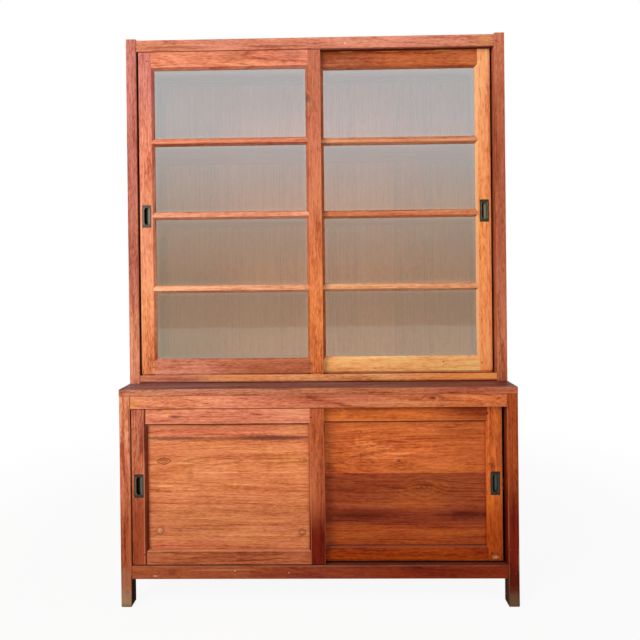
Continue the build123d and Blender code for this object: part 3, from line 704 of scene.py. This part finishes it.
def dress_lower_left_door():
    door = "lower_left_door_"
    plank(door + "outer_stile", Z, "terracotta", trunk=(0.02, 0.08), seed=21.0, streak=1.2,
          second=("russet", 0.46, 0.25, Z),
          fades=[(Z, 0.38, 0.28, (0.88, 0.80, 0.88)), (Z, 0.40, 0.52, (1.08, 1.22, 1.52))],
          # painted shade on the stile's outer edge and on its chamfer by the panel, with a painted
          # highlight beside it
          painted_light_and_grime=[door_edge_shade(-1), side_line("right", 0, 9.0, "maroon", 0.85),
                 side_line("right", 9.6, 12.0, "pale", 0.30)])
    plank(door + "meeting_stile", Z, "rust", trunk=(-0.012, 0.05), seed=22.0, ring=1.5,
          second=("oxblood", 0.38, 0.22, Z), fades=[(Z, 0.40, 0.52, (1.15, 1.16, 1.12))],
          # painted shade on the stile's outer edge and a painted highlight by the panel
          painted_light_and_grime=[door_edge_shade(1), side_line("left", 4.0, 6.5, "pale", 0.22)])
    plank(door + "top_rail", X, "salmon", trunk=(0.02, 0.10), seed=23.0,
          marks=[("golden", -0.452, 0.586, 0.009, 0.020, 0.8),
                 ("golden", -0.478, 0.593, 0.03, 0.004, 0.8),
                 ("plum", -0.430, 0.576, 0.024, 0.006, 0.7), ("light", -0.478, 0.580, 0.03, 0.012, 0.5),
                 # the light mark at height 0.597 is a painted highlight along the door's top edge
                 ("light", -0.30, 0.597, 0.20, 0.004, 0.6), ("shade", -0.1, 0.600, 0.10, 0.004, 0.5)],
          # painted shade along the rail's lower edge by the panel, with a painted highlight above it
          painted_light_and_grime=[side_line("bottom", 0, 3.8, "maroon", 0.82),
                 side_line("bottom", 4.4, 7.0, "pale", 0.35)])
    plank(door + "bottom_rail", X, "rust", trunk=(0.03, 0.04), seed=24.0, ring=1.5, wander=1.6,
          fades=[(X, -0.8, -0.7, (1.01, 1.14, 1.26))],
          # a painted highlight along the rail's upper edge by the panel, with painted shade below it
          painted_light_and_grime=[side_line("top", 0, 4.5, "pale", 0.25), side_line("top", 4.5, 9.0, "plum", 0.25)])
    plank(door + "panel", X, "papaya", trunk=(0.04, 0.05), seed=31.0, streak=0.8,
          slope=0.05, arris=0, wander=1.4,
          fades=[(X, -0.30, -0.10, (1.04, 1.05, 1.03)), (Z, 0.38, 0.26, (0.82, 0.80, 0.80)),
                 (Z, 0.50, 0.53, (0.90, 0.90, 1.0))],
          knots=[(-0.486, 0.2255, 0.011, 1.6, "pale"), (-0.0499, 0.2202, 0.011, 1.6, "rings"),
                 (-0.0408, 0.4383, 0.007, 1.0, "rings")],
          loops=[(-0.470, 0.4385, 0.022, 0.011, 0.75), (-0.471, 0.4385, 0.013, 0.007, 0.5),
                 (-0.484, 0.2250, 0.013, 0.012, 0.75), (-0.0499, 0.2202, 0.011, 0.010, 0.75),
                 (-0.0455, 0.4383, 0.012, 0.008, 0.6),
                 (-0.32, 0.438, 0.085, 0.011, 0.35)],
          marks=[("plum", -0.27, 0.507, 0.34, 0.008, 0.5), ("plum", -0.44, 0.507, 0.10, 0.008, 0.5),
                 ("plum", -0.13, 0.507, 0.15, 0.009, 0.7), ("dark", -0.470, 0.4385, 0.020, 0.010, 0.30),
                 ("cream", -0.485, 0.2265, 0.006, 0.007, 0.7),
                 ("cream", -0.0499, 0.2202, 0.005, 0.005, 0.5),
                 ("light", -0.26, 0.523, 0.22, 0.004, 0.6), ("light", -0.35, 0.494, 0.20, 0.003, 0.6),
                 ("light", -0.44, 0.345, 0.08, 0.06, 0.30), ("shade", -0.39, 0.395, 0.012, 0.018, 0.5),
                 ("light", -0.22, 0.365, 0.22, 0.003, 0.6), ("light", -0.33, 0.300, 0.18, 0.003, 0.6),
                 ("light", -0.15, 0.255, 0.12, 0.004, 0.5), ("light", -0.25, 0.210, 0.20, 0.004, 0.5),
                 ("shade", -0.10, 0.330, 0.09, 0.004, 0.4), ("shade", -0.33, 0.240, 0.12, 0.003, 0.4),
                 ("rosy", -0.46, 0.170, 0.08, 0.03, 0.7), ("rosy", -0.30, 0.525, 0.30, 0.02, 0.8),
                 ("ink", -0.31, 0.436, 0.002, 0.002, 0.6), ("ink", -0.28, 0.272, 0.002, 0.002, 0.6),
                 ("light", -0.45, 0.185, 0.06, 0.012, 0.4), ("bright", -0.40, 0.432, 0.030, 0.002, 0.5),
                 ("bright", -0.42, 0.352, 0.07, 0.003, 0.5), ("bright", -0.47, 0.362, 0.05, 0.002, 0.5),
                 ("bright", -0.30, 0.402, 0.09, 0.002, 0.45), ("bright", -0.20, 0.312, 0.11, 0.002, 0.45),
                 ("bright", -0.37, 0.262, 0.08, 0.002, 0.4), ("bright", -0.12, 0.402, 0.07, 0.002, 0.4),
                 ("bright", -0.16, 0.228, 0.08, 0.002, 0.4)],
          # painted shade along the panel's top, under the rail
          painted_light_and_grime=[side_line("top", 0, 9.0, "maroon", 0.8)])


def dress_lower_right_door():
    door = "lower_right_door_"
    plank(door + "outer_stile", Z, "amber", trunk=(0.03, 0.09), seed=25.0,
          second=("ember", 0.38, 0.20, Z), fades=[(Z, 0.45, 0.40, (1.0, 0.96, 0.80))],
          knots=[(0.417, 0.5290, 0.009, 2.0, "dark"), (0.1415, 0.5311, 0.013, 2.4, "rings")],
          marks=[("cream", 0.1380, 0.5350, 0.006, 0.011, 0.7), ("ink", 0.150, 0.526, 0.005, 0.004, 0.8),
                 ("knot", 0.422, 0.5215, 0.005, 0.004, 0.7), ("shade", 0.408, 0.530, 0.020, 0.007, 0.5),
                 ("golden", 0.30, 0.527, 0.06, 0.008, 0.6), ("shade", 0.24, 0.522, 0.05, 0.004, 0.5)],
          # painted shade on the stile's outer edge and a painted highlight on its chamfer by the panel
          painted_light_and_grime=[door_edge_shade(1), side_line("left", 0, 8.0, "light", 0.55),
                 side_line("right", 0.8, 3.0, "grey", 0.35)])
    plank(door + "meeting_stile", Z, "russet", trunk=(0.03, 0.09), seed=26.0)
    plank(door + "top_rail", X, "amber", trunk=(0.03, 0.08), seed=27.0,
          second=("chestnut", 0.32, 0.50, X),
          marks=[("light", 0.078, 0.580, 0.014, 0.020, 0.8), ("light", 0.062, 0.588, 0.003, 0.02, 0.7),
                 ("shade", 0.17, 0.592, 0.10, 0.006, 0.7), ("shade", 0.43, 0.594, 0.12, 0.006, 0.7),
                 ("golden", 0.25, 0.578, 0.10, 0.005, 0.6)],
          # painted shade along the rail's lower edge by the panel, with a painted highlight above it
          painted_light_and_grime=[side_line("bottom", 0, 3.8, "maroon", 0.85),
                 side_line("bottom", 4.6, 6.8, "pale", 0.25)])
    plank(door + "bottom_rail", X, "ember", trunk=(0.03, 0.08), seed=28.0, streak=1.2,
          fades=[(X, -0.1, 0.0, (0.84, 0.74, 0.5))],
          # painted shade along the rail's upper edge by the panel and along its lower edge, over the sill
          painted_light_and_grime=[side_line("top", 0, 4.0, "taupe", 0.55), side_line("bottom", 0, 6.0, "maroon", 0.4)])
    plank(door + "panel", X, "amber", trunk=(0.05, 0.05), seed=33.0, streak=0.85,
          slope=0.05, arris=0, wander=1.4, second=("russet", 0.3918, 0.3908, Z),
          fades=[(Z, 0.2322, 0.2312, (1.36, 1.48, 0.86)), (X, 0.30, 0.48, (0.88, 0.84, 0.84)),
                 (Z, 0.3908, 0.3918, (1.06, 1.14, 1.36)),
                 (Z, 0.285, 0.275, (0.80, 0.70, 0.80))],
          knots=[(0.3233, 0.348, 0.026, 2.4, "rings"), (0.248, 0.428, 0.009, 1.4, "dark")],
          loops=[(0.3233, 0.348, 0.060, 0.030, 0.35), (0.3233, 0.348, 0.095, 0.044, 0.25),
                 (0.12, 0.424, 0.05, 0.012, 0.4)],
          marks=[("shade", 0.135, 0.264, 0.17, 0.022, 0.95), ("shade", 0.450, 0.262, 0.10, 0.020, 0.9),
                 ("shade", 0.12, 0.262, 0.09, 0.008, 0.8), ("shade", 0.45, 0.268, 0.06, 0.007, 0.8),
                 ("golden", 0.330, 0.345, 0.10, 0.045, 0.8), ("golden", 0.30, 0.300, 0.10, 0.03, 0.8),
                 ("bright", 0.17, 0.474, 0.08, 0.020, 0.55), ("bright", 0.23, 0.452, 0.16, 0.006, 0.5),
                 ("bright", 0.20, 0.438, 0.12, 0.004, 0.5), ("light", 0.145, 0.500, 0.03, 0.03, 0.6),
                 ("light", 0.20, 0.465, 0.20, 0.045, 0.6), ("shade", 0.15, 0.452, 0.05, 0.008, 0.6),
                 ("light", 0.33, 0.462, 0.10, 0.006, 0.6), ("golden", 0.45, 0.412, 0.09, 0.004, 0.9),
                 # the thin shade marks at x 0.128 and 0.130 are painted shadow of the front door's
                 # meeting stile
                 ("ink", 0.1326, 0.5177, 0.003, 0.006, 0.5), ("shade", 0.128, 0.50, 0.003, 0.03, 0.4),
                 ("shade", 0.130, 0.44, 0.003, 0.03, 0.35),
                 ("plum", 0.30, 0.1595, 0.22, 0.003, 0.5), ("shade", 0.44, 0.520, 0.10, 0.03, 0.4),
                 ("golden", 0.42, 0.205, 0.14, 0.015, 0.6), ("shade", 0.10, 0.340, 0.10, 0.012, 0.5)],
          # painted shade along the panel's top and bottom, by the rails
          painted_light_and_grime=[side_line("top", 0, 9.0, "maroon", 0.5), side_line("bottom", 0, 8.0, "maroon", 0.6)])


# ---------------------------------------------------------------- sides, back and inside

BACK_BOARDS = 8
TOP_BOARDS = 2


def inner_shade(node):
    """Painted shade on the inner face of a side panel, a fifth of its thickness deep."""
    low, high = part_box(node)
    outer, inner = (low[X], high[X]) if high[X] < 0 else (high[X], low[X])
    fifth = (inner - outer) * 0.2
    return ("black", 0.9, [past(X, inner - fifth * 2, inner - fifth)])


def dress_insides():
    for part, log in (("chest", 0.0), ("base", 5.3)):
        for side, cut in (("left", 0.0), ("right", 2.7)):
            plank(f"{part}_rear_{side}_post", Z, "rust", trunk=(0.05, 0.08), seed=40.0 + log + cut)
            panel = f"{part}_{side}_panel"
            plank(panel, Z, "brick", across=Y, trunk=(0.10, 0.06), seed=41.0 + log + cut, arris=0.3,
                  # painted shade on the panel's inner face
                  per_board=True, painted_light_and_grime=[inner_shade])
        plank(f"{part}_side_rails", Y, "brick", across=Z, per_board=True, seed=42.0 + log)
        plank(f"{part}_rear_rails", X, "rust", per_board=True, seed=43.0 + log)
        back = f"{part}_back_boards"
        low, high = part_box(back)
        pitch = (high[X] - low[X]) / BACK_BOARDS
        plank(back, Z, "apricot", boards=(X, BACK_BOARDS), seed=44.0 + log * 7.0, arris=0, streak=0.7,
              painted_light_and_grime=[("black", 0.6, [past(X, 0.0035, 0.0012, pitch)])])
        plank(f"{part}_bottom_board", X, "rust", across=Y, per_board=True, seed=45.0 + log,
              arris=0.3)
    plank("chest_top_board", X, "brick", across=Y, boards=(Y, TOP_BOARDS), seed=46.0, arris=0)
    shelves = ("chest_lower_shelf", "chest_middle_shelf", "chest_upper_shelf", "base_shelf")
    for place, shelf in enumerate(shelves):
        plank(shelf, X, "rust", across=Y, per_board=True, seed=47.0 + 1.9 * place)
    for cleat in ("chest_shelf_cleats", "base_shelf_cleats"):
        plank(cleat, Y, "russet", across=Z, per_board=True, seed=48.0)
    for side in ("left", "right"):
        plank(f"upper_{side}_door_beads", X, "rust", per_board=True, seed=49.0, arris=0)


# ---------------------------------------------------------------- glass and metal

# From pane to pane, the height of the lower three, and the part that the frame covers
PANE_PITCH = 0.235
PANE_HEIGHT = 0.225
PANE_REBATE = 0.0075

# Half a pull plate's width and height
PULL_HALF_WIDTH = 0.0142
PULL_HALF_HEIGHT = 0.0355

# Each pull's patina, verdigris, and rim rubbed bright with a painted highlight, and the painted lit right
# side of its cup
PULLS = {
    "upper_left_door": ((104, 100, 92), (112, 116, 106), (178, 166, 148), (150, 152, 146)),
    "upper_right_door": ((62, 58, 48), (74, 78, 66), (132, 126, 108), (146, 152, 138)),
    "lower_left_door": ((70, 62, 56), (88, 90, 84), (146, 136, 126), (112, 122, 128)),
    "lower_right_door": ((58, 52, 44), (66, 72, 64), (96, 96, 86), (92, 106, 114)),
}


def window_glass(name, node):
    """Old window glass: wavy, bright as a mirror in front, with dust along the beads."""
    g = Graph(bpy.data.materials.new(name))
    x, y, z = g.place()
    low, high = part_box(node)
    ripple = g.noise(g.vector(x * 5.0, z * 3.0, y * 5.0), 1.0)
    smear = g.noise(g.vector(x * 60.0, z * 5.0, y * 5.0), 3.0, 0.6)
    cloud = g.noise(g.vector(x * 7.0, z * 9.0, y * 3.0), 3.0, 0.6)
    side = (x - (low[X] + PANE_REBATE)).least((high[X] - PANE_REBATE) - x)
    level = ((z - low[Z]) / PANE_PITCH).fract() * PANE_PITCH
    edge = side.least(level - PANE_REBATE).least((PANE_HEIGHT - PANE_REBATE) - level)
    border = g.smooth(edge + cloud * 0.014, -0.002, 0.014, 1.0, 0.0)
    dust = g.clamp(smear * 0.028 + cloud * 0.05 + border * 0.07)
    bump = g.add("Bump", {"Strength": 0.2, "Distance": 0.002, "Height": ripple})
    front = g.smooth(y, low[Y] + 0.0010, low[Y] + 0.0020, 1.0, 0.0)
    pane = g.add("BsdfPrincipled", {
        "Base Color": rgba((240, 236, 228)), "Roughness": 0.0, "IOR": 1.52,
        "Transmission Weight": 1.0 - dust,
        "Coat Weight": front, "Coat Roughness": 0.02, "Coat IOR": 4.0,
        "Coat Normal": bump.outputs[0]})
    open_to_lamps = g.add("BsdfTransparent", {"Color": rgba((232, 232, 228))})
    is_shadow = g.add("LightPath").outputs["Is Shadow Ray"]
    mixed = g.add("MixShader", {0: is_shadow, 1: pane.outputs[0], 2: open_to_lamps.outputs[0]})
    return g.surface(mixed)


def aged_bronze(name, node, body, green, bright, cup_lit_side):
    """Brown-black patina with verdigris, a rubbed rim painted brighter as a highlight too, and a cup with
    a painted shadow on its left side and painted light on its right.
    """
    g = Graph(bpy.data.materials.new(name))
    low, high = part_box(node)
    middle_x = (low[X] + high[X]) / 2
    middle_z = (low[Z] + high[Z]) / 2
    x, y, z = g.place()
    spread = g.noise(g.vector(x * 160.0, y * 160.0, z * 120.0), 3.0, 0.6)
    speck = g.noise(g.vector(x * 900.0, y * 900.0, z * 900.0), 2.0, 0.6)
    colour = g.mix(g.smooth(spread, -0.06, 0.16), rgba(body), rgba(green))
    across = (x - middle_x).size() / PULL_HALF_WIDTH
    upward = (z - middle_z).size() / PULL_HALF_HEIGHT
    # the rim: rubbed bright, and painted brighter as a highlight
    rim = g.smooth((across - 0.62).size() + spread * 0.4, 0.0, 0.22, 1.0, 0.0)
    rim = rim * g.smooth(upward, 0.66, 0.80, 1.0, 0.0)
    colour = g.mix(g.clamp(rim * 0.8), colour, rgba(bright))
    inside = g.smooth(y, low[Y] + 0.0010, low[Y] + 0.0022)
    # painted shadow on the cup's left side, painted light on its right
    cup_shadow_and_light = g.mix(g.smooth(x - middle_x, -0.0015, 0.0030), rgba((14, 13, 12)), rgba(cup_lit_side))
    colour = g.mix(inside, colour, cup_shadow_and_light)
    rough = g.clamp(0.46 + spread * 0.5 + speck * 0.3)
    bump = g.add("Bump", {"Strength": 0.4, "Distance": 0.0003, "Height": spread + speck * 0.4})
    shader = g.add("BsdfPrincipled", {
        "Base Color": colour, "Metallic": 0.75, "Roughness": rough, "Normal": bump.outputs[0]})
    return g.surface(shader)


def dress_glass_and_metal():
    for side in ("left", "right"):
        node = f"upper_{side}_door_glass"
        dress(node, window_glass(node + "_old", node), 0)
    for door, tones in PULLS.items():
        node = door + "_pull"
        dress(node, aged_bronze(door + "_bronze", node, *tones), 0.5)


# ---------------------------------------------------------------- pegs

# Each peg's body, the middle of its head in metres, and its radius in millimetres
PEGS = [
    ("upper_left_door", -0.5351, -0.121, 1.6883, 2.2),
    ("upper_left_door", -0.5245, -0.121, 0.7107, 2.0),
    ("upper_left_door", -0.0179, -0.121, 0.7192, 2.0),
    ("upper_right_door", 0.4039, -0.1015, 0.7183, 2.2),
    ("upper_right_door", 0.5264, -0.1015, 0.7147, 2.2),
    ("lower_left_door", -0.0195, -0.215, 0.5711, 2.6),
    ("lower_left_door", -0.5295, -0.215, 0.1578, 2.2),
    ("lower_right_door", 0.5160, -0.1955, 0.5750, 2.8),
    ("carcass", -0.5755, -0.217, 0.6117, 2.6),
]

# A peg's outline: shares of its radius, and millimetres into the wood
PEG_PROFILE = [(0, -0.40), (0.55, -0.36), (0.85, -0.22), (1, 0.0), (1, 2.0), (0, 2.0)]


def lathed(name, profile, sides=20):
    """A turned form about the Y axis, from (radius, y) points in metres."""
    mesh = bpy.data.meshes.new(name)
    shape = bmesh.new()
    rings = []
    for radius, y in profile:
        if radius == 0:
            rings.append([shape.verts.new((0, y, 0))])
            continue
        turns = [2 * math.pi * k / sides for k in range(sides)]
        rings.append([shape.verts.new((radius * math.cos(t), y, radius * math.sin(t)))
                      for t in turns])
    for one, two in zip(rings, rings[1:]):
        for k in range(sides):
            n = (k + 1) % sides
            corners = [one[k % len(one)], one[n % len(one)], two[n % len(two)], two[k % len(two)]]
            shape.faces.new(list(dict.fromkeys(corners)))
    bmesh.ops.recalc_face_normals(shape, faces=shape.faces)
    shape.to_mesh(mesh)
    shape.free()
    return mesh


def peg_wood():
    """End grain, black with dirt."""
    g = Graph(bpy.data.materials.new("peg_wood"))
    x, y, z = g.place()
    grain = g.noise(g.vector(x * 900.0, y * 200.0, z * 900.0), 3.0, 0.6)
    colour = g.ramp(grain + 0.5, [(0.3, rgba(MARKS["ink"])), (0.62, rgba(MARKS["knot"])),
                                  (0.85, rgba(MARKS["dark"]))])
    bump = g.add("Bump", {"Strength": 0.4, "Distance": 0.0003, "Height": grain})
    shader = g.add("BsdfPrincipled", {
        "Base Color": colour, "Roughness": g.clamp(0.6 + grain * 0.4), "Normal": bump.outputs[0]})
    return g.surface(shader)


def drive_pegs():
    """The joint pegs and nail heads, each on the body that it is driven into."""
    material = peg_wood()
    for number, (body, x, y, z, radius) in enumerate(PEGS):
        profile = [(share * radius * MM, depth * MM) for share, depth in PEG_PROFILE]
        mesh = lathed(f"peg_{number}", profile)
        for face in mesh.polygons:
            face.use_smooth = True
        mesh.materials.append(material)
        peg = bpy.data.objects.new(f"peg_{number}", mesh)
        bpy.context.scene.collection.objects.link(peg)
        peg.location = (x, y, z)
        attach(peg, body)


# ---------------------------------------------------------------- studio

# The camera as it was fitted to the photo: its place in metres, its turns in radians
CAMERA_PLACE = (0.0372, -1.8700, 0.9994)
CAMERA_YAW = 0.0176
CAMERA_PITCH = -0.0042
CAMERA_ROLL = -0.0112
FOCAL_SHARE = 549.87 / 640
SENSOR = 36.0
SHIFT = (0.00237, -0.06619)

AMBIENT = 0.30
WHITE = (1.0, 1.0, 1.0, 1.0)
FLOOR_HALF = 9.0


def put_camera():
    """Looks along the fitted line of sight, rolled about it."""
    yaw, pitch, roll = CAMERA_YAW, CAMERA_PITCH, CAMERA_ROLL
    forward = Vector((-math.sin(yaw) * math.cos(pitch), math.cos(yaw) * math.cos(pitch),
                      math.sin(pitch)))
    level = Vector((math.cos(yaw), math.sin(yaw), 0))
    upright = level.cross(forward)
    right = math.cos(roll) * level + math.sin(roll) * upright
    up = math.cos(roll) * upright - math.sin(roll) * level
    data = bpy.data.cameras.new("camera")
    data.sensor_width = SENSOR
    data.lens = FOCAL_SHARE * SENSOR
    data.shift_x, data.shift_y = SHIFT
    camera = bpy.data.objects.new("camera", data)
    bpy.context.scene.collection.objects.link(camera)
    turn = Matrix((right, up, -forward)).transposed()
    camera.matrix_world = Matrix.Translation(CAMERA_PLACE) @ turn.to_4x4()
    bpy.context.scene.camera = camera


def area_light(name, place, target, size, power, colour):
    """A soft lamp aimed at a target. The glass neither mirrors it nor shows it."""
    data = bpy.data.lights.new(name, "AREA")
    data.shape = "RECTANGLE"
    data.size, data.size_y = size
    data.energy = power
    data.color = linear(colour)
    lamp = bpy.data.objects.new(name, data)
    bpy.context.scene.collection.objects.link(lamp)
    lamp.location = place
    lamp.visible_glossy = False
    lamp.visible_transmission = False
    lamp.rotation_euler = (Vector(target) - Vector(place)).to_track_quat("-Z", "Y").to_euler()


def light_studio():
    area_light("key", (-2.2, -2.6, 2.7), (-0.1, 0.0, 1.0), (1.8, 1.8), 76, (255, 250, 244))
    area_light("fill", (2.4, -3.0, 1.6), (0.1, 0.0, 0.8), (2.4, 2.4), 34, (250, 250, 255))


def paint_world():
    """Even studio light. Cameras see white; the glass sees a backdrop that dims to the horizon."""
    world = bpy.data.worlds.new("studio")
    bpy.context.scene.world = world
    g = Graph(world, "OutputWorld")
    path = g.add("LightPath").outputs
    height = g.add("SeparateXYZ", {0: g.add("TexCoord").outputs["Generated"]}).outputs["Z"]
    backdrop = g.ramp(height, [(0.0, rgba((212, 184, 156))), (0.10, rgba((232, 212, 192))),
                               (0.26, rgba((255, 255, 255)))])
    ambient = g.add("Background", {"Color": rgba((255, 252, 248)), "Strength": AMBIENT})
    white = g.add("Background", {"Color": WHITE, "Strength": 1.0})
    mirrored = g.add("Background", {"Color": backdrop, "Strength": 1.0})
    seen = g.signal(path["Is Camera Ray"]).most(g.signal(path["Is Transmission Ray"]))
    plain = g.add("MixShader", {0: seen, 1: ambient.outputs[0], 2: white.outputs[0]})
    g.surface(g.add("MixShader", {0: path["Is Glossy Ray"], 1: plain.outputs[0],
                                  2: mirrored.outputs[0]}))


def floor_paper():
    """Paper that takes the object's shadow, and that cameras and the glass see as bright."""
    g = Graph(bpy.data.materials.new("floor_paper"))
    x, y, _ = g.place()
    grain = g.noise(g.vector(x * 40.0, y * 40.0, 0.0), 3.0)
    base = g.mix(g.clamp(grain + 0.5), rgba((236, 236, 236)), rgba((240, 240, 240)))
    far = g.smooth((x * x + y * y).sqrt(), 0.9, 2.4)
    path = g.add("LightPath").outputs
    glossy = g.signal(path["Is Glossy Ray"])
    seen = (g.signal(path["Is Camera Ray"]).most(glossy)
            .most(g.signal(path["Is Transmission Ray"])))
    paper = g.add("BsdfDiffuse", {"Color": base})
    shown = g.mix(glossy, WHITE, rgba((224, 204, 178)))
    bright = g.add("Emission", {"Color": shown, "Strength": 1.0})
    share = seen * (far * 0.08 + 0.92)
    return g.surface(g.add("MixShader", {0: share, 1: paper.outputs[0], 2: bright.outputs[0]}))


def lay_floor():
    """A flat floor under the feet."""
    mesh = bpy.data.meshes.new("floor")
    shape = bmesh.new()
    bmesh.ops.create_grid(shape, x_segments=8, y_segments=8, size=FLOOR_HALF)
    shape.to_mesh(mesh)
    shape.free()
    mesh.materials.append(floor_paper())
    floor = bpy.data.objects.new("floor", mesh)
    bpy.context.scene.collection.objects.link(floor)


# ---------------------------------------------------------------- the whole

dress_frames()
dress_upper_left_door()
dress_upper_right_door()
dress_lower_left_door()
dress_lower_right_door()
dress_insides()
dress_glass_and_metal()
drive_pegs()
put_camera()
light_studio()
paint_world()
lay_floor()
bpy.context.scene.view_settings.view_transform = "Standard"
